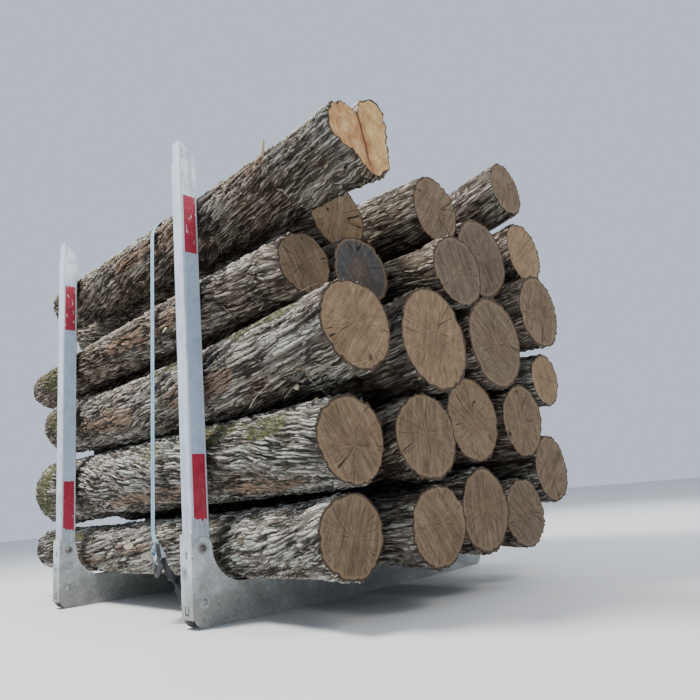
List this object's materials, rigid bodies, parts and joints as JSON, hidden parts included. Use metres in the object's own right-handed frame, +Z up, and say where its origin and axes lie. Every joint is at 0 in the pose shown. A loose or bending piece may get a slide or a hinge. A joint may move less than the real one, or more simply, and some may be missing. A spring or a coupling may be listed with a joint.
{
  "type": "stack of logs",
  "caption": "Stack of hardwood logs in bark, lying crosswise in two stake bunks with aluminium stakes and lashed with a webbing strap.",
  "frame": {"origin": "centre of the bounding box, on the floor under the bunks", "axes": "+X along the logs, +Y across the load away from the ratchet side, +Z up"},
  "size_m": [4.14, 2.576, 2.921],
  "materials": {
    "bark_and_wood": "rough hardwood bark with sawn ends",
    "bunk_paint": "scuffed grey-green paint",
    "stake_aluminium": "matt weathered extrusion",
    "bolt_steel": "dull zinc with rust",
    "strap_webbing": "faded light blue polyester webbing",
    "end_webbing": "black polyester webbing",
    "lashing_steel": "blue-grey zinc plating",
    "handle_paint": "black coated steel"
  },
  "bodies": {
    "root": {"end_strap": "end_webbing", "far_hook": "lashing_steel", "left_bunk": "bunk_paint", "left_bunk_bolts": "bolt_steel", "left_far_insert": "stake_aluminium", "left_far_stake": "stake_aluminium", "left_near_insert": "stake_aluminium", "left_near_stake": "stake_aluminium", "log_01": "bark_and_wood", "log_02": "bark_and_wood", "log_03": "bark_and_wood", "log_04": "bark_and_wood", "log_05": "bark_and_wood", "log_06": "bark_and_wood", "log_07": "bark_and_wood", "log_08": "bark_and_wood", "log_09": "bark_and_wood", "log_10": "bark_and_wood", "log_11": "bark_and_wood", "log_12": "bark_and_wood", "log_13": "bark_and_wood", "log_14": "bark_and_wood", "log_15": "bark_and_wood", "log_16": "bark_and_wood", "log_17": "bark_and_wood", "log_18": "bark_and_wood", "log_19": "bark_and_wood", "log_20": "bark_and_wood", "log_21": "bark_and_wood", "log_22": "bark_and_wood", "log_23": "bark_and_wood", "near_hook": "lashing_steel", "ratchet_frame": "lashing_steel", "ratchet_handle": "handle_paint", "ratchet_spool": "lashing_steel", "right_bunk": "bunk_paint", "right_bunk_bolts": "bolt_steel", "right_far_insert": "stake_aluminium", "right_far_stake": "stake_aluminium", "right_near_insert": "stake_aluminium", "right_near_stake": "stake_aluminium", "strap": "strap_webbing"}
  },
  "joints": []
}
